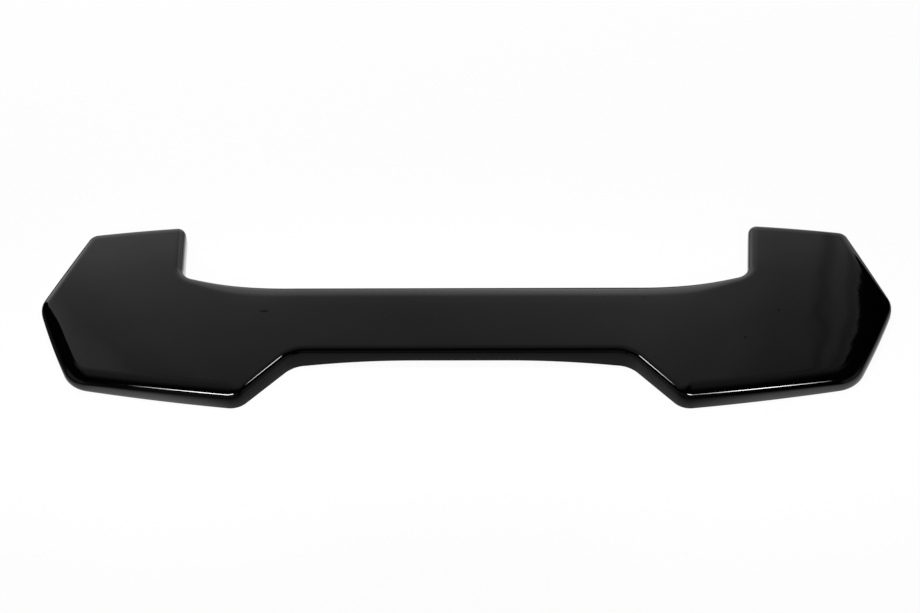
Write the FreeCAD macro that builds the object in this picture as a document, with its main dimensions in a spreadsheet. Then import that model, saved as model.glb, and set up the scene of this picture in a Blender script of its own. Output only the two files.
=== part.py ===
import FreeCAD, Part
import math
import os
import Sketcher

# Roof spoiler cap: one formed skin of gloss black plastic, open underneath.
# Two wide side wings are joined by a narrow bar. The trailing edge steps forward behind the bar as a wide
# notch, and the whole border is rolled down into a rim that stands on the surface below it.
#
# Frame: X across the car, Y towards the front of the car, Z up. The rim of the wings lies on Z = 0 and the
# origin is under the middle of the part. All sizes are millimetres.

doc = FreeCAD.newDocument("RoofSpoilerCap")
sheet = doc.addObject("Spreadsheet::Sheet", "Sizes")

SIZES = [
    ("wall", 3.5, "thickness of the formed skin"),
    ("edge_roll", 12.0, "radius of the rolled border, outside"),
    ("crown_height", 33.0, "top of the skin above the rim, at the middle of the part"),
    ("crown_flat", 220.0, "half width of the middle of the crown, which is level across the span"),
    ("fall_radius", 4900.0, "radius by which the crown falls from there to the tip"),
    ("chord_radius", 3000.0, "radius of the crown from front to rear"),
    ("notch_half", 221.0, "half width of the notch at the bar"),
    ("notch_back", 78.2, "rear edge of the bar, behind the middle"),
    ("tail_half", 289.0, "half width between the tail corners"),
    ("tail_back", 150.7, "tail corner, behind the middle"),
    ("heel_half", 516.0, "half width between the heel corners"),
    ("heel_back", 116.7, "heel corner, behind the middle"),
    ("tip_half", 573.0, "half width between the tips, before they are rounded"),
    ("tip_ahead", 12.3, "tip, ahead of the middle"),
    ("shoulder_half", 518.0, "half width between the shoulder corners"),
    ("shoulder_ahead", 140.3, "shoulder corner, ahead of the middle"),
    ("nose_half", 387.0, "half width between the inner front corners"),
    ("nose_ahead", 149.8, "inner front corner, ahead of the middle"),
    ("root_half", 382.0, "half width between the wing roots"),
    ("root_ahead", 58.4, "wing root, ahead of the middle"),
    ("sweep_half", 240.0, "half width at which the sweep into the bar ends"),
    ("bar_ahead", 36.2, "front edge of the bar, ahead of the middle"),
    ("tail_bow", 3000.0, "radius of the bowed trailing edge of a wing"),
    ("side_bow", 1200.0, "radius of the bowed outer edge of a wing"),
    ("front_bow", 2500.0, "radius of the bowed front edge of a wing"),
    ("notch_round", 40.0, "corner radius in plan, in the notch"),
    ("tail_round", 28.0, "corner radius in plan, at the tail"),
    ("heel_round", 46.0, "corner radius in plan, at the heel"),
    ("tip_round", 32.0, "corner radius in plan, at the tip"),
    ("shoulder_round", 16.0, "corner radius in plan, at the shoulder"),
    ("nose_round", 12.0, "corner radius in plan, at the inner front corner"),
    ("root_round", 20.0, "corner radius in plan, at the wing root"),
    ("arch_rise", 11.0, "rim of the bar above the rim of the wings"),
    ("arch_flat", 60.0, "half width of the level part of the raised rim"),
    ("arch_foot", 205.0, "half width at which the raised rim comes down"),
]
for row, (alias, value, note) in enumerate(SIZES, start=1):
    sheet.set(f"A{row}", alias)
    sheet.set(f"B{row}", str(value))
    sheet.set(f"C{row}", note)
    sheet.setAlias(f"B{row}", alias)
doc.recompute()

# Plan corners of the right half, from the notch round the wing to the front of the bar, each with its
# half width and its distance ahead of the middle. A minus sign puts it behind the middle.
CORNERS = [
    ("notch", "notch_half", "-notch_back"),
    ("tail", "tail_half", "-tail_back"),
    ("heel", "heel_half", "-heel_back"),
    ("tip", "tip_half", "tip_ahead"),
    ("shoulder", "shoulder_half", "shoulder_ahead"),
    ("nose", "nose_half", "nose_ahead"),
    ("root", "root_half", "root_ahead"),
    ("sweep", "sweep_half", "bar_ahead"),
]
# Corners that are rounded in plan. The sweep is already smooth.
ROUNDED = ["notch", "tail", "heel", "tip", "shoulder", "nose", "root"]
# Edges between two neighbouring corners that are bowed outwards.
BOWS = {("tail", "heel"): "tail_bow", ("heel", "tip"): "side_bow", ("shoulder", "nose"): "front_bow"}

UP = FreeCAD.Vector(0, 0, 1)
SPARE = 40


def size(alias):
    return float(sheet.get(alias))


def signed(term):
    return -size(term[1:]) if term.startswith("-") else size(term)


def cell(term):
    return f"-Sizes.{term[1:]}" if term.startswith("-") else f"Sizes.{term}"


PLAN = {name: (size(across), signed(along)) for name, across, along in CORNERS}


def new_sketch(body, name, role):
    sketch = body.newObject("Sketcher::SketchObject", name)
    plane = [item for item in body.Origin.OriginFeatures if item.Role == role][0]
    sketch.AttachmentSupport = [(plane, "")]
    sketch.MapMode = "FlatFace"
    return sketch


def fix(sketch, *terms):
    return sketch.addConstraint(Sketcher.Constraint(*terms))


def bind(sketch, expression, *terms):
    """Adds a dimension to a sketch and binds it to the sheet."""
    sketch.setExpression(f"Constraints[{fix(sketch, *terms)}]", expression)


def arc(centre, radius, first, last):
    return Part.ArcOfCircle(Part.Circle(centre, UP, radius), first, last)


def angle(centre, point):
    return math.atan2(point.y - centre.y, point.x - centre.x)


class Edge:
    """Edge of the plan outline: a line, or an arc whose centre is on the left (1) or right (-1) of it."""

    def __init__(self, start, end, radius=0, side=1):
        self.start, self.end, self.radius, self.side = start, end, radius, side
        self.along = end.sub(start).normalize()
        self.left = FreeCAD.Vector(-self.along.y, self.along.x, 0)
        if radius:
            reach = math.sqrt(radius**2 - (end.sub(start).Length / 2) ** 2)
            self.centre = (start + end) * 0.5 + self.left * (reach * side)

    def touch(self, hub):
        """Point of the edge that is nearest to a hub."""
        if self.radius:
            return self.centre + hub.sub(self.centre).normalize() * self.radius
        return self.start + self.along * hub.sub(self.start).dot(self.along)

    def beside(self, gap):
        """The edge moved to its left by a gap, as a curve long enough to be crossed."""
        if self.radius:
            return Part.Circle(self.centre, UP, self.radius - gap * self.side)
        return Part.Line(self.start + self.left * gap, self.end + self.left * gap)

    def drawn(self):
        """Curve for a sketch, with the places there of this edge's start and end."""
        if not self.radius:
            return Part.LineSegment(self.start, self.end), 1, 2
        first, last = angle(self.centre, self.start), angle(self.centre, self.end)
        if self.side > 0:
            return arc(self.centre, self.radius, first, last), 1, 2
        return arc(self.centre, self.radius, last, first), 2, 1


def rounding(before, after, radius):
    """Arc that rounds the corner between two edges, which it also trims."""
    turn = 1 if before.along.cross(after.along).z > 0 else -1
    corner = before.end
    hubs = before.beside(radius * turn).intersect(after.beside(radius * turn))
    hubs = [FreeCAD.Vector(hub.X, hub.Y, 0) for hub in hubs]
    hub = min(hubs, key=corner.distanceToPoint)
    before.end, after.start = before.touch(hub), after.touch(hub)
    return Edge(before.end, after.start, radius, turn)


def half_outline(body):
    """Right half of the plan outline, drawn anticlockwise from the middle of the bar's rear edge."""
    sketch = new_sketch(body, "HalfOutline", "XY_Plane")
    spots = [FreeCAD.Vector(*PLAN[name], 0) for name, across, along in CORNERS]
    names = [name for name, across, along in CORNERS]
    rear = FreeCAD.Vector(0, spots[0].y, 0)
    front = FreeCAD.Vector(0, spots[-1].y, 0)
    edges = [Edge(rear, spots[0])]
    for one, two, start, end in zip(names, names[1:], spots, spots[1:]):
        if (one, two) in BOWS:
            edges.append(Edge(start, end, size(BOWS[one, two])))
        elif two == "sweep":
            run, rise = start.x - end.x, start.y - end.y
            edges.append(Edge(start, end, (run**2 + rise**2) / (2 * rise), -1))
        else:
            edges.append(Edge(start, end))
    edges += [Edge(spots[-1], front), Edge(front, rear)]
    arcs = [rounding(edges[place], edges[place + 1], size(f"{name}_round"))
            for place, name in enumerate(ROUNDED)]

    def draw(edge):
        curve, first, last = edge.drawn()
        return sketch.addGeometry(curve), first, last

    drawn = [draw(edge) for edge in edges]
    rounds = [draw(edge) for edge in arcs]
    for place, name in enumerate(ROUNDED):
        before, here, after = drawn[place], rounds[place], drawn[place + 1]
        fix(sketch, "Tangent", before[0], before[2], here[0], here[1])
        fix(sketch, "Tangent", here[0], here[2], after[0], after[1])
        corner = sketch.addGeometry(Part.Point(spots[place]), True)
        fix(sketch, "PointOnObject", corner, 1, before[0])
        fix(sketch, "PointOnObject", corner, 1, after[0])
        across, along = CORNERS[place][1:]
        bind(sketch, cell(across), "DistanceX", -1, 1, corner, 1, spots[place].x)
        bind(sketch, cell(along), "DistanceY", -1, 1, corner, 1, spots[place].y)
        bind(sketch, f"Sizes.{name}_round", "Radius", here[0], arcs[place].radius)
    for place, (one, two) in enumerate(zip(names, names[1:]), start=1):
        if (one, two) in BOWS:
            bind(sketch, cell(BOWS[one, two]), "Radius", drawn[place][0], edges[place].radius)
    sweep, bar, middle = drawn[-3:]
    fix(sketch, "Tangent", sweep[0], sweep[2], bar[0], bar[1])
    bind(sketch, "Sizes.sweep_half", "DistanceX", -1, 1, bar[0], bar[1], spots[-1].x)
    bind(sketch, "Sizes.bar_ahead", "DistanceY", -1, 1, bar[0], bar[1], spots[-1].y)
    fix(sketch, "Coincident", bar[0], bar[2], middle[0], middle[1])
    fix(sketch, "Coincident", middle[0], middle[2], drawn[0][0], drawn[0][1])
    fix(sketch, "Horizontal", bar[0])
    fix(sketch, "Horizontal", drawn[0][0])
    fix(sketch, "PointOnObject", middle[0], 1, -2)
    fix(sketch, "PointOnObject", middle[0], 2, -2)
    return sketch


def lower_face(shape):
    """Name of the flat face on Z = 0."""
    for number, face in enumerate(shape.Faces, start=1):
        if face.BoundBox.ZLength < 0.1 and abs(face.CenterOfMass.z) < 0.1:
            return f"Face{number}"


def border_edges(shape):
    """Names of the edges where the crown meets the upright walls."""
    names = []
    for number, edge in enumerate(shape.Edges, start=1):
        level = []
        for face in shape.ancestorsOfType(edge, Part.Face):
            spot = face.Surface.parameter(edge.CenterOfMass)
            level.append(abs(face.normalAt(*spot).z) > 0.5)
        if sorted(level) == [False, True] and edge.BoundBox.ZMin > 1:
            names.append(f"Edge{number}")
    return names


def cut_to_crown(body, depth, text):
    """Cuts a block down to the crown, sunk by a depth: a spanwise profile turned about a far line along X."""
    sketch = new_sketch(body, body.Name + "Profile", "XZ_Plane")
    flat = size("crown_flat")
    top = size("crown_height") - depth
    bend = size("fall_radius") - depth
    reach = size("tip_half") + SPARE
    steep = math.asin((reach - flat) / bend)
    low = top - bend * (1 - math.cos(steep))
    high = top + SPARE
    level = size("crown_height") - size("chord_radius")
    quarter = math.pi / 2
    corners = [FreeCAD.Vector(x, y, 0) for x, y in ((reach, low), (reach, high), (-reach, high), (-reach, low))]
    middle = sketch.addGeometry(Part.LineSegment(FreeCAD.Vector(flat, top, 0), FreeCAD.Vector(-flat, top, 0)))
    right = sketch.addGeometry(arc(FreeCAD.Vector(flat, top - bend, 0), bend, quarter - steep, quarter))
    left = sketch.addGeometry(arc(FreeCAD.Vector(-flat, top - bend, 0), bend, quarter, quarter + steep))
    rise = sketch.addGeometry(Part.LineSegment(corners[0], corners[1]))
    over = sketch.addGeometry(Part.LineSegment(corners[1], corners[2]))
    drop = sketch.addGeometry(Part.LineSegment(corners[2], corners[3]))
    ends = [FreeCAD.Vector(x, level, 0) for x in (-reach, reach)]
    axis = sketch.addGeometry(Part.LineSegment(*ends), True)
    fix(sketch, "Tangent", right, 2, middle, 1)
    fix(sketch, "Tangent", middle, 2, left, 1)
    fix(sketch, "Coincident", right, 1, rise, 1)
    fix(sketch, "Coincident", rise, 2, over, 1)
    fix(sketch, "Coincident", over, 2, drop, 1)
    fix(sketch, "Coincident", drop, 2, left, 2)
    fix(sketch, "Vertical", rise)
    fix(sketch, "Vertical", drop)
    fix(sketch, "Equal", right, left)
    fix(sketch, "Symmetric", middle, 1, middle, 2, -2)
    fix(sketch, "Symmetric", over, 1, over, 2, -2)
    fix(sketch, "Symmetric", axis, 1, axis, 2, -2)
    bind(sketch, "Sizes.crown_flat", "DistanceX", -1, 1, middle, 1, flat)
    bind(sketch, "Sizes.crown_height" + text, "DistanceY", -1, 1, middle, 1, top)
    bind(sketch, "Sizes.fall_radius" + text, "Radius", right, bend)
    bind(sketch, f"Sizes.tip_half + {SPARE}", "DistanceX", -1, 1, over, 1, reach)
    bind(sketch, f"Sizes.crown_height{text} + {SPARE}", "DistanceY", -1, 1, over, 1, high)
    bind(sketch, f"Sizes.tip_half + {SPARE}", "DistanceX", -1, 1, axis, 2, reach)
    bind(sketch, "Sizes.crown_height - Sizes.chord_radius", "DistanceY", -1, 1, axis, 1, level)
    doc.recompute()
    crown = body.newObject("PartDesign::Groove", body.Name + "Crown")
    crown.Profile = sketch
    crown.ReferenceAxis = (sketch, ["Axis0"])
    crown.Midplane = True
    deep = max(size("tail_back"), size("nose_ahead")) + SPARE
    crown.Angle = 2 * math.degrees(math.asin(deep / size("chord_radius")))
    doc.recompute()
    return crown


def break_border(kind, body, crown, measure, expression):
    """Rolls or chamfers the edges where the crown meets the upright walls."""
    border = body.newObject(f"PartDesign::{kind}", body.Name + kind)
    border.Base = (crown, border_edges(crown.Shape))
    border.setExpression(measure, expression)
    doc.recompute()


# Outside of the skin: the plan outline, mirrored, cut to the crown and rolled over at the border.
form = doc.addObject("PartDesign::Body", "Form")
outline = half_outline(form)
half = form.newObject("PartDesign::Pad", "HalfBlock")
half.Profile = outline
half.setExpression("Length", "Sizes.crown_height + 10")
doc.recompute()
block = form.newObject("PartDesign::Mirrored", "Block")
block.Originals = [half]
block.MirrorPlane = (outline, ["V_Axis"])
block.Refine = True
form.Tip = block
doc.recompute()

# Inside of the skin: the same form, set in and sunk by the thickness of the wall.
cavity = doc.addObject("PartDesign::Body", "Cavity")
inset = cavity.newObject("PartDesign::SubShapeBinder", "RimInset")
inset.Support = [(block, (lower_face(block.Shape),))]
inset.setExpression("Offset", "-Sizes.wall")
doc.recompute()
core = cavity.newObject("PartDesign::Pad", "CavityBlock")
core.Profile = inset
core.SideType = "Two sides"
core.Reversed = True
core.setExpression("Length", "Sizes.crown_height + 10")
core.Length2 = SPARE
doc.recompute()

break_border("Fillet", form, cut_to_crown(form, 0, ""), "Radius", "Sizes.edge_roll")
sunk = cut_to_crown(cavity, size("wall"), " - Sizes.wall")
break_border("Chamfer", cavity, sunk, "Size", "0.75 * (Sizes.edge_roll - Sizes.wall)")

skin = doc.addObject("Part::Cut", "Skin")
skin.Base = form
skin.Tool = cavity

# Clearance under the bar: level in the middle, curving down on both sides to the rim of the wings.
arch = doc.addObject("PartDesign::Body", "Arch")
section = new_sketch(arch, "ArchProfile", "XZ_Plane")
rise, flat, foot = size("arch_rise"), size("arch_flat"), size("arch_foot")
bend = ((foot - flat) ** 2 + rise**2) / (2 * rise)
turn = math.asin((foot - flat) / bend)
middle = section.addGeometry(Part.LineSegment(FreeCAD.Vector(flat, rise, 0), FreeCAD.Vector(-flat, rise, 0)))
hub = FreeCAD.Vector(flat, rise - bend, 0)
right = section.addGeometry(arc(hub, bend, math.pi / 2 - turn, math.pi / 2))
hub = FreeCAD.Vector(-flat, rise - bend, 0)
left = section.addGeometry(arc(hub, bend, math.pi / 2, math.pi / 2 + turn))
ends = [FreeCAD.Vector(x, y, 0) for x, y in ((-foot, 0), (-foot, -SPARE), (foot, -SPARE), (foot, 0))]
sides = [section.addGeometry(Part.LineSegment(one, two)) for one, two in zip(ends, ends[1:])]
fix(section, "Tangent", right, 2, middle, 1)
fix(section, "Tangent", middle, 2, left, 1)
fix(section, "Coincident", left, 2, sides[0], 1)
fix(section, "Coincident", sides[0], 2, sides[1], 1)
fix(section, "Coincident", sides[1], 2, sides[2], 1)
fix(section, "Coincident", sides[2], 2, right, 1)
fix(section, "Symmetric", middle, 1, middle, 2, -2)
fix(section, "Symmetric", sides[1], 1, sides[1], 2, -2)
fix(section, "Vertical", sides[0])
fix(section, "Vertical", sides[2])
fix(section, "PointOnObject", sides[0], 1, -1)
bind(section, "Sizes.arch_flat", "DistanceX", -1, 1, middle, 1, flat)
bind(section, "Sizes.arch_rise", "DistanceY", -1, 1, middle, 1, rise)
bind(section, "Sizes.arch_foot", "DistanceX", -1, 1, sides[1], 2, foot)
fix(section, "DistanceY", sides[1], 2, -1, 1, SPARE)
fix(section, "PointOnObject", sides[2], 2, -1)
tunnel = arch.newObject("PartDesign::Pad", "Tunnel")
tunnel.Profile = section
tunnel.Midplane = True
tunnel.setExpression("Length", f"2 * max(Sizes.tail_back; Sizes.nose_ahead) + {SPARE}")
doc.recompute()

shell = doc.addObject("Part::Cut", "SpoilerShell")
shell.Label = "spoiler_shell"
shell.Base = skin
shell.Tool = arch
shell.Placement = FreeCAD.Placement(FreeCAD.Vector(0, 0, 0), FreeCAD.Rotation())
doc.recompute()

# Nothing is written unless every step of the form has worked.
for item in doc.Objects:
    if "Invalid" in item.State or "Error" in item.State:
        raise RuntimeError(f"{item.Label} failed: {item.State}")
if not outline.FullyConstrained:
    raise RuntimeError("the plan outline is not fully constrained")
if not form.Shape.Volume > skin.Shape.Volume > shell.Shape.Volume > 0:
    raise RuntimeError("a cut took nothing away")
if shell.Shape.isNull() or not shell.Shape.isValid() or len(shell.Shape.Solids) != 1:
    raise RuntimeError("spoiler_shell is not one valid solid")

os.makedirs("parts", exist_ok=True)
shell.Shape.exportStep(f"parts/{shell.Label}.step")
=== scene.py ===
"""Gloss black roof spoiler cap on a white table, in a dim room with four softboxes and a pale wall."""

import math

import bmesh
import bpy
from mathutils import Matrix, Vector, geometry


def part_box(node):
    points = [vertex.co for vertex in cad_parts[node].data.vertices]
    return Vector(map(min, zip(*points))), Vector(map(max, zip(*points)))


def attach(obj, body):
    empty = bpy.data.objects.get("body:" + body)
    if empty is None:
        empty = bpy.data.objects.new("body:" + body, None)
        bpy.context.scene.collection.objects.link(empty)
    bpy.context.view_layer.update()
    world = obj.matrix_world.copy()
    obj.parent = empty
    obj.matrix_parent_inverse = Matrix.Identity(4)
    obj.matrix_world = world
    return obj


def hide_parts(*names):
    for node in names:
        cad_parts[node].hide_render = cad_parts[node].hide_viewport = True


bl_info = {
    "name": "Roof spoiler cap",
    "version": (1, 0, 0),
    "blender": (4, 5, 0),
    "location": "View3D > Sidebar > Spoiler",
    "description": "Forms a gloss black roof spoiler cap and sets up the studio that shows it",
    "category": "Object",
}

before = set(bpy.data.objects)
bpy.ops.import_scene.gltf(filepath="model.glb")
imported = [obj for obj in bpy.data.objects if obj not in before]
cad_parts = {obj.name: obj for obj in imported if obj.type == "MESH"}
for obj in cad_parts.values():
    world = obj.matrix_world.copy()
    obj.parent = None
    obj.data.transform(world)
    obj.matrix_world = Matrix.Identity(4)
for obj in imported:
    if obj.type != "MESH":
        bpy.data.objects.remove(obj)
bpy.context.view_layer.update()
SHELL_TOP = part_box("spoiler_shell")[1].z

# Width of the picture in pixels, and of the camera's sensor in millimetres.
PHOTO_WIDTH = 920
SENSOR = 36.0

# Corners of the right half of the plan, from the notch round the wing to the front of the bar.
CORNERS = ("notch", "tail", "heel", "tip", "shoulder", "nose", "root", "sweep")
# Runs between two neighbouring corners that are bowed outwards.
BOWS = {"heel": "tail_bow", "tip": "side_bow", "nose": "front_bow"}
# Run of the half outline that rounds the tail, where the notch's roll turns into the trailing edge's.
TAIL_RUN = 3
# Largest turn of the outline from one point to the next, in degrees.
ARC_STEP = 4

# Distances in metres within which points are joined: points that meet, those at the hub of a rounded corner, and
# those where the grid meets the border.
MEET, HUB_MEET, GRID_MEET = 1e-5, 0.0005, 0.0012
# Rows of the mesh along the border: by the turn of the roll in degrees, up to a gap before the inner front corner
# closes, and beyond that by their distance from the outline in metres.
ROW_TURNS = range(5, 70, 5)
ROW_GAP = 0.002
WIDE_ROWS = (0.014, 0.018, 0.02, 0.023)
# Distance that marks the points of the rim, which lie under the outline.
RIM = -1

# Least straight drop under the roll, in metres.
LIP_DROP = 0.004
# Distances behind the middle, in metres, between which the front's roll turns into the rear's.
REAR_BLEND = (-0.02, 0.03)
# Distance past the end of the sweep, in metres, where the bar's softer roll starts to end.
BAR_BLEND = 0.06

# Range that most of a noise pattern lies in.
NOISE_RANGE = (0.3, 0.7)

# Light of the ceiling by its angle in degrees from the horizon in front of the table, over the top, to the
# horizon behind it, and its share from the left to the right.
CEILING_LIGHT = (
    (0, 0.1), (20, 0.1), (29, 0.09), (42, 0.004), (62, 0.004), (70, 0.02), (80, 0.08), (90, 0.17), (110, 0.22),
    (117, 0.27), (121.5, 0.27), (124, 0.0),
)
CEILING_WIDTH = ((-0.5, 0.0), (-0.4, 1.0), (0.0, 0.85), (0.2, 0.6), (0.3, 0.0))
# Light of the low windows on both sides of the room, by the upward, sideways and forward share of a line of
# sight.
WINDOW_RISE = ((0.0, 0.24), (0.2, 0.21), (0.35, 0.1), (0.5, 0.0))
WINDOW_SIDE = ((-0.65, 1.0), (-0.45, 0.0), (0.45, 0.0), (0.65, 1.0))
WINDOW_AHEAD = ((-0.1, 1.0), (0.25, 0.0))
# Light of the wall behind the table by its height and from its left to its right, in metres. It is brightest
# near the table, and two dark folds hang near its right end.
WALL_LIGHT = ((0.0, 1.6), (1.2, 1.5), (1.5, 1.1), (1.8, 0.73), (2.2, 0.54), (3.0, 0.33), (3.2, 0.3))
WALL_FOLDS = (
    (-1.9, 1.1), (-1.7, 1.0), (-1.58, 0.7), (-1.35, 0.8), (-0.9, 0.75), (-0.5, 0.62), (-0.2, 0.7), (0.1, 0.82),
    (0.4, 0.7), (0.58, 0.52), (0.69, 0.5), (0.735, 0.3), (0.775, 0.5), (0.81, 0.48), (0.835, 0.26), (0.865, 0.5),
    (1.5, 0.6),
)

# Share of the table's mirrored light from the left to the right and from the rear to the front, in metres from
# the middle: painted shade in the notch, where it lies in the part's shade, and beyond the tips, and a painted
# pool of light near the part, where the light gathers.
TABLE_REACH = 0.7
TABLE_PAINTED_SHADE_ACROSS = (
    (-0.545, 0.0), (-0.49, 1.0), (-0.4, 1.0), (-0.34, 0.7), (-0.27, 0.13), (0.27, 0.13), (0.34, 0.55),
    (0.4, 0.85), (0.5, 1.0), (0.64, 0.0),
)
TABLE_PAINTED_LIGHT_ALONG = ((-0.36, 0.0), (-0.24, 0.12), (-0.19, 0.3), (-0.165, 0.6), (-0.15, 1.0))
# Gap between the table and the rim, in metres.
TABLE_GAP = 0.0003

# Dull scuffs and pale specks on the gloss: their places and half sizes in metres, and how much they show.
SCUFFS = (
    ((-0.264, -0.0104, 0.033), (0.0082, 0.003, 0.004), 0.6),
    ((0.2425, 0.0115, 0.033), (0.0022, 0.0042, 0.004), 0.25),
    ((0.4195, -0.0075, 0.029), (0.003, 0.0035, 0.004), 0.42),
    ((0.3735, -0.0545, 0.03), (0.0024, 0.0024, 0.004), 0.56),
)
SPECKS = (((0.0775, -0.0785, 0.013), (0.0016, 0.002, 0.0014), 1.0),)


def length(name, description, default):
    return bpy.props.FloatProperty(
        name=name, description=description, default=default, unit="LENGTH", precision=4
    )


def place(name, description, default):
    return bpy.props.FloatVectorProperty(
        name=name, description=description, default=default, size=len(default), unit="LENGTH", precision=4
    )


def colour(name, description, default):
    return bpy.props.FloatVectorProperty(
        name=name, description=description, default=default, size=3, subtype="COLOR", min=0, max=1
    )


def amount(name, description, default):
    return bpy.props.FloatProperty(name=name, description=description, default=default, min=0)


def turned(name, description, default):
    return bpy.props.FloatProperty(
        name=name, description=description, default=math.radians(default), subtype="ANGLE", unit="ROTATION"
    )


class SkinSizes(bpy.types.PropertyGroup):
    """Sizes of the formed skin."""

    wall: length("Wall", "Thickness of the formed skin", 0.0035)
    edge_roll: length("Edge roll", "Radius of the rolled border", 0.012)
    tail_roll: length("Tail roll", "Depth of the rolled border along the wings' trailing edges", 0.019)
    tail_reach: length("Tail reach", "Width of the rolled border along the wings' trailing edges", 0.0225)
    notch_roll: length("Notch roll", "Depth and width of the rolled border round the notch", 0.0095)
    front_reach: length("Front reach", "Width of the softer roll along the front edge of the bar", 0.026)
    roll_ease: amount("Roll ease", "How gently a roll starts, where 2 is a plain arc", 2.4)
    crown_height: length("Crown height", "Top of the skin above the rim", SHELL_TOP)
    crown_flat: length("Crown flat", "Half width of the level middle of the crown", 0.22)
    fall_radius: length("Fall radius", "Radius by which the crown falls to the tips", 4.9)
    chord_radius: length("Chord radius", "Radius of the crown from front to rear", 3.0)
    notch: place("Notch", "Corner of the notch at the bar", (0.221, -0.0782))
    tail: place("Tail", "Tail corner", (0.289, -0.1507))
    heel: place("Heel", "Heel corner", (0.516, -0.1167))
    tip: place("Tip", "Tip of the wing", (0.573, 0.0123))
    shoulder: place("Shoulder", "Shoulder corner", (0.518, 0.1403))
    nose: place("Nose", "Inner front corner", (0.387, 0.1498))
    root: place("Root", "Wing root", (0.382, 0.0584))
    sweep: place("Sweep", "End of the sweep into the bar", (0.24, 0.0362))
    notch_round: length("Notch round", "Corner radius in plan, in the notch", 0.04)
    tail_round: length("Tail round", "Corner radius in plan, at the tail", 0.028)
    heel_round: length("Heel round", "Corner radius in plan, at the heel", 0.046)
    tip_round: length("Tip round", "Corner radius in plan, at the tip", 0.032)
    shoulder_round: length("Shoulder round", "Corner radius in plan, at the shoulder", 0.016)
    nose_round: length("Nose round", "Corner radius in plan, at the inner front corner", 0.012)
    root_round: length("Root round", "Corner radius in plan, at the wing root", 0.02)
    tail_bow: length("Tail bow", "Radius of the bowed trailing edge", 3.0)
    side_bow: length("Side bow", "Radius of the bowed outer edge", 1.2)
    front_bow: length("Front bow", "Radius of the bowed front edge", 2.5)
    arch_rise: length("Arch rise", "Rim of the bar above the rim of the wings", 0.011)
    arch_flat: length("Arch flat", "Half width of the level part of the raised rim", 0.06)
    arch_foot: length("Arch foot", "Half width at which the raised rim comes down", 0.205)
    rim_break: length("Rim break", "Radius of the trimmed edges of the rim", 0.0006)
    grid: length("Grid", "Spacing of the mesh on the open skin", 0.02)
    stride: length("Stride", "Spacing of the mesh along the border", 0.012)


class SkinFinish(bpy.types.PropertyGroup):
    """Colours and gloss of the skin."""

    black: colour("Black", "Colour of the gloss skin", (0.002, 0.002, 0.0022))
    inside: colour("Inside", "Colour of the bare inner face", (0.012, 0.012, 0.013))
    trim: colour("Trim", "Colour of the cut rim", (0.02, 0.02, 0.021))
    dust: colour("Dust", "Colour of the dust on the skin", (0.22, 0.22, 0.21))
    gloss: amount("Gloss", "Roughness of the clean gloss skin", 0.035)
    wave: length("Wave", "Depth of the long waves of the formed skin", 0.0007)
    peel: length("Peel", "Depth of the fine ripple of the gloss", 0.00001)
    inside_grain: length("Inside grain", "Depth of the grain of the inner face", 0.0003)
    inside_nap: length("Inside nap", "Depth of the finest grain of the inner face", 0.00012)
    trim_marks: length("Trim marks", "Depth of the cutter's marks on the cut rim", 0.00025)


class StudioSizes(bpy.types.PropertyGroup):
    """Camera, table, wall and softboxes."""

    target: place("Target", "Point that the camera looks at", (-0.003777, 0.01576, 0.01))
    distance: length("Distance", "Camera to target", 3.2)
    height: turned("Height", "Camera above the table", 50)
    swing: turned("Swing", "Camera to the right of the middle plane", 4.603)
    roll: turned("Roll", "Camera turned about its own line of sight", -3.656)
    focal: amount("Focal length", "Focal length in pixels of the picture", 2382.58)
    floor: length("Floor", "Side of the square table top", 9.0)
    wall_left: place("Wall left", "Left end of the pale wall at its three levels", (-2.4, -1.9, -1.75))
    wall_right: place("Wall right", "Right end of the pale wall at its three levels", (1.85, 1.05, 1.25))
    wall_levels: place("Wall levels", "Foot, middle and top of the pale wall", (0.0, 1.75, 3.2))
    wall_back: length("Wall distance", "Pale wall behind the middle of the part", 1.75)
    fold_lean: amount("Fold lean", "Sideways run of the folds for each metre of the wall's height", 0.11)
    front_left: place("Front left", "Softbox in front of the left wing", (-1.2, -1.9, 1.31))
    front_right: place("Front right", "Softbox in front of the right wing", (1.12, -1.9, 1.32))
    front_size: place("Front softbox size", "Width and height of a softbox in front", (0.64, 0.2))
    front_aim: place("Front aim", "Point of the right wing that its softbox is turned to", (0.4, -0.13, 0.02))
    side_left: place("Side left", "Softbox on the left, for the right side of the notch", (-1.045, 0.135, 2.15))
    side_right: place("Side right", "Softbox on the right, for the left side of the notch", (0.83, 0.085, 2.27))
    side_size: place("Side softbox size", "Width and height of a softbox at the side", (0.44, 0.85))
    side_aim: place("Side aim", "Point of the notch that the right softbox is turned to", (-0.255, -0.115, 0.02))
    box_light: amount("Softbox light", "Brightness of the softboxes, where 1 is white", 18)
    front_spread: turned("Front spread", "Cone into which a softbox in front shines", 13)
    side_spread: turned("Side spread", "Cone into which a softbox at the side shines", 12)
    table_glow: amount("Table glow", "Brightness that the lit table adds for the camera", 0.955)


class Run:
    """Run of the plan outline: straight, or an arc whose centre is on its left (1) or on its right (-1)."""

    def __init__(self, start, end, radius=0.0, side=1):
        self.start, self.end, self.radius, self.side = start, end, radius, side
        self.along = (end - start).normalized()
        self.left = Vector((-self.along.y, self.along.x, 0))
        if radius:
            reach = math.sqrt(radius**2 - ((end - start).length / 2) ** 2)
            self.centre = (start + end) / 2 + self.left * (reach * side)

    def touch(self, hub):
        """Point of the run that is nearest to a hub."""
        if self.radius:
            return self.centre + (hub - self.centre).normalized() * self.radius
        return self.start + self.along * (hub - self.start).dot(self.along)

    def ring(self, gap):
        return self.radius - gap * self.side

    def bearing(self, spot):
        """Direction of a point from the centre of the arc, from the rear towards the right."""
        away = spot - self.centre
        return math.atan2(away.x, -away.y)

    def line(self, gap):
        start = self.start + self.left * gap
        return start, start + self.along


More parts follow.
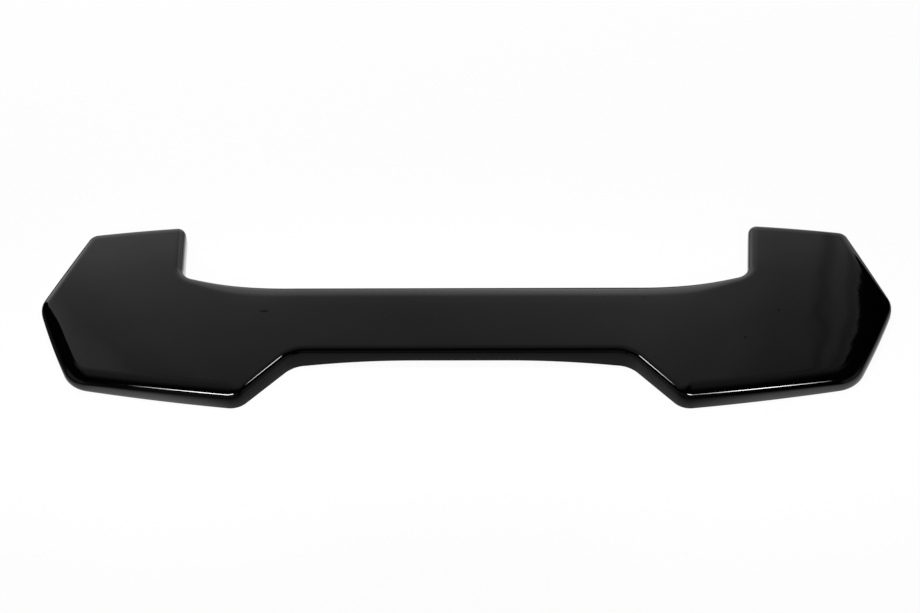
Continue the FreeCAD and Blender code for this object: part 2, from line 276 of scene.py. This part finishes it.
def crossings(one, two, gap):
    """Points that lie a gap to the left of two runs."""
    if one.radius and two.radius:
        hits = geometry.intersect_sphere_sphere_2d(
            one.centre.xy, one.ring(gap), two.centre.xy, two.ring(gap)
        )
        return [hit.to_3d() for hit in hits]
    if one.radius or two.radius:
        bow, straight = (one, two) if one.radius else (two, one)
        return geometry.intersect_line_sphere(*straight.line(gap), bow.centre, bow.ring(gap), False)
    return geometry.intersect_line_line(*one.line(gap), *two.line(gap))[:1]


def rounding(before, after, radius):
    """Arc that rounds the corner between two runs, which it also trims."""
    turn = 1 if before.along.cross(after.along).z > 0 else -1
    corner = before.end.copy()
    hub = min(crossings(before, after, radius * turn), key=lambda hit: (hit - corner).length)
    before.end, after.start = before.touch(hub), after.touch(hub)
    return Run(before.end, after.start, radius, turn)


def half_outline(sizes):
    """Runs of the right half of the plan, anticlockwise from the middle of the bar's rear edge."""
    spots = [Vector((*getattr(sizes, name), 0)) for name in CORNERS]
    rear, front = Vector((0, spots[0].y, 0)), Vector((0, spots[-1].y, 0))
    runs = [Run(rear, spots[0])]
    for name, start, end in zip(CORNERS[1:], spots, spots[1:]):
        if name in BOWS:
            runs.append(Run(start, end, getattr(sizes, BOWS[name])))
        elif name == "sweep":
            gap = start - end
            runs.append(Run(start, end, gap.length_squared / (2 * gap.y), -1))
        else:
            runs.append(Run(start, end))
    runs.append(Run(spots[-1], front))
    drawn = [runs[0]]
    for name, before, after in zip(CORNERS, runs, runs[1:]):
        if name != "sweep":
            drawn.append(rounding(before, after, getattr(sizes, name + "_round")))
        drawn.append(after)
    return drawn


def draw(bm, tip, run, stride):
    """Draws a run from the tip of the outline and gives the new tip."""
    reach = (run.end - run.start).length
    if run.radius:
        turn = (run.start - run.centre).angle(run.end - run.centre)
        steps = max(2, math.ceil(reach / stride), math.ceil(turn / math.radians(ARC_STEP)))
        path = {"cent": run.centre, "angle": turn * run.side, "dvec": (0, 0, 0)}
    else:
        steps = max(1, math.ceil(reach / stride))
        path = {"cent": run.start, "angle": 0, "dvec": (run.end - run.start) / steps}
    made = bmesh.ops.spin(bm, geom=[tip], axis=(0, 0, 1), steps=steps, **path)
    return made["geom_last"][0]


def each_once(faces, kind):
    """Edges or verts of some faces, each once and always in the same order."""
    return list(dict.fromkeys(item for face in faces for item in getattr(face, kind)))


def add_object(context, name, bm):
    """Turns a finished bmesh into an object of the scene."""
    mesh = bpy.data.meshes.new(name)
    bm.to_mesh(mesh)
    bm.free()
    made = bpy.data.objects.new(name, mesh)
    context.scene.collection.objects.link(made)
    return made


def mix(first, second, share):
    return first + (second - first) * share


def smooth_step(low, high, value):
    share = min(max((value - low) / (high - low), 0), 1)
    return share * share * (3 - 2 * share)


class SPOILER_OT_skin(bpy.types.Operator):
    """Forms the skin: its plan outline, its crown, its rolled border and its wall"""

    bl_idname = "spoiler.skin"
    bl_label = "Form the skin"

    def execute(self, context):
        sizes = context.scene.spoiler_sizes
        bm = bmesh.new()
        inset = bm.verts.layers.float.new("inset")
        tip = bm.verts.new((0, sizes.notch[1], 0))
        runs = half_outline(sizes)
        for run in runs:
            tip = draw(bm, tip, run, sizes.stride)
        bmesh.ops.mirror(bm, geom=bm.verts[:] + bm.edges[:], axis="X", merge_dist=MEET)
        bmesh.ops.contextual_create(bm, geom=bm.edges[:])
        bmesh.ops.recalc_face_normals(bm, faces=bm.faces[:])
        if bm.faces[:][0].normal.z < 0:
            bmesh.ops.reverse_faces(bm, faces=bm.faces[:])
        self.inset_rows(bm, inset, sizes, runs)
        self.cut_grid(bm, sizes)
        border = [edge for edge in bm.edges if edge.is_boundary]
        down = bmesh.ops.extrude_edge_only(bm, edges=border)["geom"]
        for vert in down:
            if isinstance(vert, bmesh.types.BMVert):
                vert[inset] = RIM
        for vert in bm.verts:
            vert.co.z = self.height(sizes, runs[TAIL_RUN], vert.co, vert[inset])
        bmesh.ops.recalc_face_normals(bm, faces=bm.faces[:])
        if max(bm.faces, key=lambda face: face.calc_area()).normal.z < 0:
            bmesh.ops.reverse_faces(bm, faces=bm.faces[:])
        for face in bm.faces:
            face.smooth = True
        skin = add_object(context, "spoiler_skin", bm)
        self.thicken(skin, sizes)
        finish = context.scene.spoiler_finish
        grain, dust, mark = grain_group(), dust_group(), mark_group()
        skin.data.materials.append(gloss_black(finish, grain, dust, mark))
        skin.data.materials.append(inner_face(finish, grain, dust))
        skin.data.materials.append(cut_rim(finish, grain, dust))
        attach(skin, "root")
        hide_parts("spoiler_shell")
        return {"FINISHED"}

    def thicken(self, skin, sizes):
        """Gives the skin its wall, with a face of its own inside and on the rim, and breaks the rim's edges."""
        wall = skin.modifiers.new("wall", "SOLIDIFY")
        wall.thickness = sizes.wall
        wall.offset = -1
        wall.material_offset = 1
        wall.material_offset_rim = 2
        trim = skin.modifiers.new("trim", "BEVEL")
        trim.width = sizes.rim_break
        trim.segments = 2
        trim.profile = 0.5
        trim.limit_method = "ANGLE"
        trim.angle_limit = math.radians(60)

    def inset_rows(self, bm, inset, sizes, runs):
        """Insets the plan in rows that follow the rolled border."""
        roll = max(sizes.edge_roll, sizes.tail_roll)
        rows = [roll * (1 - math.cos(math.radians(turn))) for turn in ROW_TURNS]
        rows = [row for row in rows if row < sizes.nose_round - ROW_GAP]
        rows += sorted((sizes.nose_round, sizes.shoulder_round, *WIDE_ROWS))
        done = 0
        for row in rows:
            face = max(bm.faces, key=lambda item: len(item.verts))
            bmesh.ops.inset_region(
                bm, faces=[face], thickness=row - done, use_boundary=True, use_even_offset=True
            )
            for vert in face.verts:
                vert[inset] = row
            for run in runs:
                if run.radius == row:
                    self.close_round(bm, face.verts[:], run.centre)
                    face = max(bm.faces, key=lambda item: len(item.verts))
                    self.close_round(bm, face.verts[:], Vector((-run.centre.x, run.centre.y, 0)))
            done = row

    def close_round(self, bm, verts, hub):
        """Joins the points of a corner that has been inset by its own radius."""
        near = [vert for vert in verts if (vert.co - hub).length < HUB_MEET]
        bmesh.ops.pointmerge(bm, verts=near, merge_co=hub)

    def cut_grid(self, bm, sizes):
        """Cuts the open skin inside the border into a grid."""
        region = [max(bm.faces, key=lambda item: len(item.verts))]
        across = math.ceil(sizes.tip[0] / sizes.grid)
        along = math.ceil(sizes.nose[1] / sizes.grid)
        cuts = [((step * sizes.grid, 0, 0), (1, 0, 0)) for step in range(-across, across + 1)]
        cuts += [((0, step * sizes.grid, 0), (0, 1, 0)) for step in range(-along, along + 1)]
        for point, normal in cuts:
            geom = region + each_once(region, "edges") + each_once(region, "verts")
            made = bmesh.ops.bisect_plane(bm, geom=geom, dist=MEET, plane_co=point, plane_no=normal)
            region = [item for item in made["geom"] if isinstance(item, bmesh.types.BMFace)]
        bmesh.ops.remove_doubles(bm, verts=each_once(region, "verts"), dist=GRID_MEET)
        bmesh.ops.dissolve_degenerate(bm, dist=MEET, edges=bm.edges[:])

    def height(self, sizes, corner, spot, inset):
        """Height of a point of the plan, from its distance to the outline or for the rim under it."""
        crown = self.crown(sizes, spot)
        roll, reach = self.border(sizes, corner, spot)
        roll = min(roll, crown - LIP_DROP)
        if inset == RIM:
            return min(self.arch(sizes, abs(spot.x)), crown - roll - sizes.rim_break)
        if inset >= reach:
            return crown
        ease = sizes.roll_ease
        return crown - roll + roll * (1 - (1 - inset / reach) ** ease) ** (1 / ease)

    def crown(self, sizes, spot):
        """Height of the open skin over a point of the plan."""
        past = max(abs(spot.x) - sizes.crown_flat, 0)
        span = sizes.crown_height - sizes.fall_radius + math.sqrt(sizes.fall_radius**2 - past**2)
        hub = sizes.crown_height - sizes.chord_radius
        return hub + math.sqrt((span - hub) ** 2 - spot.y**2)

    def border(self, sizes, corner, spot):
        """Depth and width of the roll near a point of the plan."""
        right = Vector((abs(spot.x), spot.y, 0))
        rear = smooth_step(*REAR_BLEND, -spot.y)
        trail = smooth_step(*(corner.bearing(end) for end in (corner.start, corner.end, right)))
        bar = 1 - smooth_step(sizes.sweep[0] + BAR_BLEND, sizes.root[0], right.x)
        ahead = mix(sizes.edge_roll, sizes.front_reach, bar)
        roll = mix(sizes.edge_roll, mix(sizes.notch_roll, sizes.tail_roll, trail), rear)
        reach = mix(ahead, mix(sizes.notch_roll, sizes.tail_reach, trail), rear)
        return roll, reach

    def arch(self, sizes, across):
        """Height of the rim, which is raised under the bar."""
        if across >= sizes.arch_foot:
            return 0
        run = sizes.arch_foot - sizes.arch_flat
        bend = (run**2 + sizes.arch_rise**2) / (2 * sizes.arch_rise)
        past = max(across - sizes.arch_flat, 0)
        return sizes.arch_rise - bend + math.sqrt(bend**2 - past**2)


def node(tree, kind, **values):
    """Adds a shader node with its plain settings and socket values."""
    made = tree.nodes.new(kind)
    for name, value in values.items():
        if name in made.inputs:
            made.inputs[name].default_value = value
        else:
            setattr(made, name, value)
    return made


def wire(tree, source, socket, target, entry):
    tree.links.new(source.outputs[socket], target.inputs[entry])


def ramp(tree, source, socket, reach, stops):
    """Adds a smooth run of levels over the range from minus to plus reach of a value."""
    share = node(tree, "ShaderNodeMapRange")
    share.inputs["From Min"].default_value = -reach
    share.inputs["From Max"].default_value = reach
    wire(tree, source, socket, share, "Value")
    made = node(tree, "ShaderNodeValToRGB")
    wire(tree, share, 0, made, 0)
    elements = made.color_ramp.elements
    while len(elements) < len(stops):
        elements.new(0.5)
    for element, (stop, level) in zip(elements, stops):
        element.position = (stop + reach) / (2 * reach)
        element.color = (level, level, level, 1)
    return made


def new_material(name):
    material = bpy.data.materials.new(name)
    material.use_nodes = True
    tree = material.node_tree
    return material, tree, tree.nodes["Principled BSDF"]


def new_group(name, entries, result):
    """Starts a shader group that reads a place on the piece and gives one value between 0 and 1."""
    tree = bpy.data.node_groups.new(name, "ShaderNodeTree")
    tree.interface.new_socket("Vector", in_out="INPUT", socket_type="NodeSocketVector")
    for title, kind, value in entries:
        tree.interface.new_socket(title, in_out="INPUT", socket_type=kind).default_value = value
    tree.interface.new_socket(result, in_out="OUTPUT", socket_type="NodeSocketFloat")
    return tree, tree.nodes.new("NodeGroupInput"), tree.nodes.new("NodeGroupOutput")


def use_group(tree, group, spot, **values):
    """Places a shader group that reads the Object coordinates."""
    made = tree.nodes.new("ShaderNodeGroup")
    made.node_tree = group
    wire(tree, spot, "Object", made, "Vector")
    for title, value in values.items():
        made.inputs[title].default_value = value
    return made


def spread(tree, source, socket, old, new):
    """Turns one range of a value into another."""
    made = node(tree, "ShaderNodeMapRange")
    for name, value in zip(("From Min", "From Max", "To Min", "To Max"), (*old, *new)):
        made.inputs[name].default_value = value
    wire(tree, source, socket, made, "Value")
    return made


def tint(tree, source, socket, low, high, shader):
    """Runs the base colour from one colour to another."""
    made = node(tree, "ShaderNodeValToRGB")
    for element, shade in zip(made.color_ramp.elements, (low, high)):
        element.color = (*shade, 1)
    wire(tree, source, socket, made, 0)
    wire(tree, made, 0, shader, "Base Color")


def join(tree, sources, operation):
    """Folds several masks into one."""
    first = sources[0]
    for other in sources[1:]:
        made = node(tree, "ShaderNodeMath", operation=operation)
        wire(tree, first, 0, made, 0)
        wire(tree, other, 0, made, 1)
        first = made
    return first


def bumps(tree, shader, layers):
    """Stacks bumps on a shader: the source of each and its depth in metres."""
    under = None
    for source, socket, depth in layers:
        bump = node(tree, "ShaderNodeBump", Strength=1.0, Distance=depth)
        wire(tree, source, socket, bump, "Height")
        if under:
            wire(tree, under, 0, bump, "Normal")
        under = bump
    wire(tree, under, 0, shader, "Normal")


def grain_group():
    """Even grain of the sheet, from a number of grains to the metre."""
    tree, start, end = new_group("sheet_grain", [("Grains", "NodeSocketFloat", 150.0)], "Height")
    noise = node(tree, "ShaderNodeTexNoise", Detail=2.0, Roughness=0.45)
    wire(tree, start, "Vector", noise, "Vector")
    wire(tree, start, "Grains", noise, "Scale")
    wire(tree, noise, "Fac", end, "Height")
    return tree


def dust_group():
    """Fine dust that lies in soft patches. Limit is the level above which a grain of dust shows."""
    tree, start, end = new_group("fine_dust", [("Limit", "NodeSocketFloat", 0.68)], "Mask")
    grain = node(tree, "ShaderNodeTexNoise", Scale=620.0, Detail=1.0)
    patch = node(tree, "ShaderNodeTexNoise", Scale=7.0, Detail=2.0)
    for noise in (grain, patch):
        wire(tree, start, "Vector", noise, "Vector")
    over = node(tree, "ShaderNodeMath", operation="SUBTRACT")
    wire(tree, grain, "Fac", over, 0)
    wire(tree, start, "Limit", over, 1)
    speck = spread(tree, over, 0, (0.0, 0.08), (0.0, 1.0))
    share = spread(tree, patch, "Fac", (0.42, 0.68), (0.1, 1.0))
    wire(tree, join(tree, [speck, share], "MULTIPLY"), 0, end, "Mask")
    return tree


def mark_group():
    """One small oval mark, from its place and its half sizes."""
    entries = [
        ("Place", "NodeSocketVector", (0, 0, 0)),
        ("Half size", "NodeSocketVector", (0.002, 0.002, 0.002)),
    ]
    tree, start, end = new_group("small_mark", entries, "Mask")
    away = node(tree, "ShaderNodeVectorMath", operation="SUBTRACT")
    wire(tree, start, "Vector", away, 0)
    wire(tree, start, "Place", away, 1)
    share = node(tree, "ShaderNodeVectorMath", operation="DIVIDE")
    wire(tree, away, 0, share, 0)
    wire(tree, start, "Half size", share, 1)
    gap = node(tree, "ShaderNodeVectorMath", operation="LENGTH")
    wire(tree, share, 0, gap, 0)
    mask = spread(tree, gap, "Value", (0.35, 1.0), (1.0, 0.0))
    wire(tree, mask, 0, end, "Mask")
    return tree


def small_marks(tree, mark, spot, marks):
    """Mask of several small marks, each as strong as it shows."""
    masks = []
    for centre, half, share in marks:
        oval = use_group(tree, mark, spot, **{"Place": centre, "Half size": half})
        masks.append(spread(tree, oval, "Mask", (0.0, 1.0), (0.0, share)))
    return join(tree, masks, "MAXIMUM")


def gloss_black(finish, grain, dust, mark):
    """Gloss black with the long waves of the forming, a fine ripple, faint dust, scuffs and specks."""
    material, tree, shader = new_material("gloss_black_skin")
    spot = node(tree, "ShaderNodeTexCoord")
    shader.inputs["IOR"].default_value = 1.52
    wave = node(tree, "ShaderNodeTexNoise", Scale=11.0, Detail=1.0, Roughness=0.4)
    wire(tree, spot, "Object", wave, "Vector")
    ripple = use_group(tree, grain, spot, Grains=170.0)
    bumps(tree, shader, [(wave, "Fac", finish.wave), (ripple, "Height", finish.peel)])
    haze = spread(tree, wave, "Fac", NOISE_RANGE, (finish.gloss * 0.8, finish.gloss * 1.3))
    wire(tree, haze, 0, shader, "Roughness")
    # A scuff mirrors less than the clean gloss: with this black, a metallic share dims the mirror.
    wire(tree, small_marks(tree, mark, spot, SCUFFS), 0, shader, "Metallic")
    film = use_group(tree, dust, spot, Limit=0.72)
    faint = spread(tree, film, "Mask", (0.0, 1.0), (0.0, 0.06))
    pale = join(tree, [faint, small_marks(tree, mark, spot, SPECKS)], "MAXIMUM")
    tint(tree, pale, 0, finish.black, finish.dust, shader)
    return material


def inner_face(finish, grain, dust):
    """Bare inner face of the sheet: satin, grained, with dust."""
    material, tree, shader = new_material("satin_black_inside")
    spot = node(tree, "ShaderNodeTexCoord")
    coarse = use_group(tree, grain, spot, Grains=260.0)
    fine = use_group(tree, grain, spot, Grains=900.0)
    bumps(tree, shader, [(coarse, "Height", finish.inside_grain), (fine, "Height", finish.inside_nap)])
    rough = spread(tree, coarse, "Height", NOISE_RANGE, (0.38, 0.56))
    wire(tree, rough, 0, shader, "Roughness")
    film = use_group(tree, dust, spot, Limit=0.6)
    faint = spread(tree, film, "Mask", (0.0, 1.0), (0.0, 0.16))
    tint(tree, faint, 0, finish.inside, finish.dust, shader)
    return material


def cut_rim(finish, grain, dust):
    """Cut edge of the sheet: matt, with the fine marks of the cutter."""
    material, tree, shader = new_material("cut_rim")
    spot = node(tree, "ShaderNodeTexCoord")
    marks = use_group(tree, grain, spot, Grains=1400.0)
    bumps(tree, shader, [(marks, "Height", finish.trim_marks)])
    rough = spread(tree, marks, "Height", NOISE_RANGE, (0.5, 0.75))
    wire(tree, rough, 0, shader, "Roughness")
    film = use_group(tree, dust, spot, Limit=0.58)
    faint = spread(tree, film, "Mask", (0.0, 1.0), (0.0, 0.2))
    tint(tree, faint, 0, finish.trim, finish.dust, shader)
    return material


class SPOILER_OT_studio(bpy.types.Operator):
    """Sets up the table, the room that the skin mirrors, the softboxes and the camera"""

    bl_idname = "spoiler.studio"
    bl_label = "Set up the studio"

    def execute(self, context):
        studio = context.scene.spoiler_studio
        self.table(context, studio)
        self.wall(context, studio)
        self.room(context)
        for name, side in (("left", -1), ("right", 1)):
            self.softbox(context, studio, "front", name, side)
            self.softbox(context, studio, "side", name, side)
        self.camera(context, studio)
        context.scene.view_settings.view_transform = "Standard"
        return {"FINISHED"}

    def table(self, context, studio):
        """White table, whose light the skin mirrors near the part, with painted shade in the notch and a painted
        pool of light near the part's rear.
        """
        bm = bmesh.new()
        bmesh.ops.create_grid(bm, x_segments=1, y_segments=1, size=studio.floor / 2)
        bmesh.ops.translate(bm, verts=bm.verts[:], vec=(0, 0, -TABLE_GAP))
        table = add_object(context, "table", bm)
        material, tree, shader = new_material("white_table")
        shader.inputs["Base Color"].default_value = (0.14, 0.14, 0.14, 1)
        shader.inputs["Roughness"].default_value = 0.9
        shader.inputs["Specular IOR Level"].default_value = 0
        shader.inputs["Emission Color"].default_value = (1, 1, 1, 1)
        path = node(tree, "ShaderNodeLightPath")
        mirror = node(tree, "ShaderNodeMath", operation="MAXIMUM")
        wire(tree, path, "Is Glossy Ray", mirror, 0)
        wire(tree, path, "Is Transmission Ray", mirror, 1)
        spot = node(tree, "ShaderNodeTexCoord")
        axes = node(tree, "ShaderNodeSeparateXYZ")
        wire(tree, spot, "Object", axes, 0)
        # Painted shade and light: the glow that only mirrored rays see is darkened in the notch and beyond the
        # tips and brightened near the part's rear.
        across = ramp(tree, axes, "X", TABLE_REACH, TABLE_PAINTED_SHADE_ACROSS)
        along = ramp(tree, axes, "Y", TABLE_REACH, TABLE_PAINTED_LIGHT_ALONG)
        dim = join(tree, [mirror, across, along], "MULTIPLY")
        glow = node(tree, "ShaderNodeMath", operation="MULTIPLY_ADD")
        wire(tree, path, "Is Camera Ray", glow, 0)
        glow.inputs[1].default_value = studio.table_glow
        wire(tree, dim, 0, glow, 2)
        wire(tree, glow, 0, shader, "Emission Strength")
        table.data.materials.append(material)

    def wall(self, context, studio):
        """Pale wall that only the skin and the table see."""
        bm = bmesh.new()
        bmesh.ops.create_grid(bm, x_segments=1, y_segments=2, size=1)
        for vert in bm.verts:
            level = round(vert.co.y) + 1
            ends = studio.wall_left if vert.co.x < 0 else studio.wall_right
            vert.co = (ends[level], studio.wall_back, studio.wall_levels[level])
        wall = add_object(context, "wall", bm)
        wall.visible_camera = False
        wall.visible_shadow = False
        material, tree, shader = new_material("pale_wall")
        shader.inputs["Base Color"].default_value = (0, 0, 0, 1)
        shader.inputs["Specular IOR Level"].default_value = 0
        shader.inputs["Emission Color"].default_value = (1, 1, 1, 1)
        spot = node(tree, "ShaderNodeTexCoord")
        axes = node(tree, "ShaderNodeSeparateXYZ")
        wire(tree, spot, "Object", axes, 0)
        lean = node(tree, "ShaderNodeMath", operation="MULTIPLY_ADD")
        wire(tree, axes, "Z", lean, 0)
        lean.inputs[1].default_value = -studio.fold_lean
        wire(tree, axes, "X", lean, 2)
        upright = ramp(tree, axes, "Z", studio.wall_levels[2], WALL_LIGHT)
        sideways = ramp(tree, lean, 0, -studio.wall_left[0], WALL_FOLDS)
        light = join(tree, [upright, sideways], "MULTIPLY")
        wire(tree, light, 0, shader, "Emission Strength")
        wall.data.materials.append(material)

    def room(self, context):
        """White to the camera; to the skin a dark room with a dim ceiling and low windows."""
        world = bpy.data.worlds.new("room")
        world.use_nodes = True
        tree = world.node_tree
        back = tree.nodes["Background"]
        spot = node(tree, "ShaderNodeTexCoord")
        axes = node(tree, "ShaderNodeSeparateXYZ")
        wire(tree, spot, "Generated", axes, 0)
        ahead = node(tree, "ShaderNodeMath", operation="MULTIPLY")
        ahead.inputs[1].default_value = -1
        wire(tree, axes, "Y", ahead, 0)
        lean = node(tree, "ShaderNodeMath", operation="ARCTAN2")
        wire(tree, axes, "Z", lean, 0)
        wire(tree, ahead, 0, lean, 1)
        stops = [(math.radians(turn), level) for turn, level in CEILING_LIGHT]
        upright = ramp(tree, lean, 0, math.pi, stops)
        sideways = ramp(tree, axes, "X", 1, CEILING_WIDTH)
        ceiling = join(tree, [upright, sideways], "MULTIPLY")
        shares = (("Z", WINDOW_RISE), ("X", WINDOW_SIDE), ("Y", WINDOW_AHEAD))
        windows = join(tree, [ramp(tree, axes, axis, 1, stops) for axis, stops in shares], "MULTIPLY")
        path = node(tree, "ShaderNodeLightPath")
        seen = node(tree, "ShaderNodeMath", operation="MAXIMUM")
        wire(tree, path, "Is Camera Ray", seen, 0)
        wire(tree, join(tree, [ceiling, windows], "MAXIMUM"), 0, seen, 1)
        wire(tree, seen, 0, back, "Strength")
        back.inputs["Color"].default_value = (1, 1, 1, 1)
        context.scene.world = world

    def softbox(self, context, studio, kind, name, side):
        """Oval softbox in front or at the side, turned to a point of the part."""
        spot = Vector(getattr(studio, f"{kind}_{name}"))
        aim = Vector(getattr(studio, kind + "_aim")) * Vector((side, 1, 1))
        lamp = bpy.data.lights.new(f"{kind}_{name}", "AREA")
        lamp.shape = "ELLIPSE"
        lamp.size, lamp.size_y = getattr(studio, kind + "_size")
        lamp.spread = getattr(studio, kind + "_spread")
        lamp.energy = studio.box_light * math.pi * (math.pi * lamp.size * lamp.size_y / 4)
        lamp.energy *= math.sin(lamp.spread / 2) ** 2
        made = bpy.data.objects.new(lamp.name, lamp)
        made.location = spot
        made.rotation_euler = (aim - spot).to_track_quat("-Z", "Y").to_euler()
        context.scene.collection.objects.link(made)

    def camera(self, context, studio):
        """Camera that looks at the part as the picture does."""
        lens = bpy.data.cameras.new("camera")
        lens.sensor_fit = "HORIZONTAL"
        lens.sensor_width = SENSOR
        lens.lens = SENSOR * studio.focal / PHOTO_WIDTH
        flat, rise = math.cos(studio.height), math.sin(studio.height)
        back = Vector((math.sin(studio.swing) * flat, -math.cos(studio.swing) * flat, rise))
        right = Vector((0, 0, 1)).cross(back).normalized()
        up = back.cross(right)
        turn = Matrix.Rotation(studio.roll, 3, back)
        axes = Matrix((turn @ right, turn @ up, back)).transposed()
        camera = bpy.data.objects.new("camera", lens)
        spot = Vector(studio.target) + back * studio.distance
        camera.matrix_world = Matrix.Translation(spot) @ axes.to_4x4()
        context.scene.collection.objects.link(camera)
        context.scene.camera = camera


class SPOILER_PT_panel(bpy.types.Panel):
    """Lists the sizes, the finish and the steps of the spoiler cap"""

    bl_idname = "SPOILER_PT_panel"
    bl_label = "Roof spoiler cap"
    bl_space_type = "VIEW_3D"
    bl_region_type = "UI"
    bl_category = "Spoiler"

    def draw(self, context):
        for group in ("spoiler_sizes", "spoiler_finish", "spoiler_studio"):
            settings = getattr(context.scene, group)
            box = self.layout.box()
            for name in settings.bl_rna.properties.keys():
                if name not in ("rna_type", "name"):
                    box.prop(settings, name)
        for operator in (SPOILER_OT_skin, SPOILER_OT_studio):
            self.layout.operator(operator.bl_idname)


CLASSES = (SkinSizes, SkinFinish, StudioSizes, SPOILER_OT_skin, SPOILER_OT_studio, SPOILER_PT_panel)


def register():
    for item in CLASSES:
        bpy.utils.register_class(item)
    bpy.types.Scene.spoiler_sizes = bpy.props.PointerProperty(type=SkinSizes)
    bpy.types.Scene.spoiler_finish = bpy.props.PointerProperty(type=SkinFinish)
    bpy.types.Scene.spoiler_studio = bpy.props.PointerProperty(type=StudioSizes)


def unregister():
    del bpy.types.Scene.spoiler_studio
    del bpy.types.Scene.spoiler_finish
    del bpy.types.Scene.spoiler_sizes
    for item in reversed(CLASSES):
        bpy.utils.unregister_class(item)


def main():
    register()
    bpy.ops.spoiler.skin()
    bpy.ops.spoiler.studio()


if __name__ == "__main__":
    main()
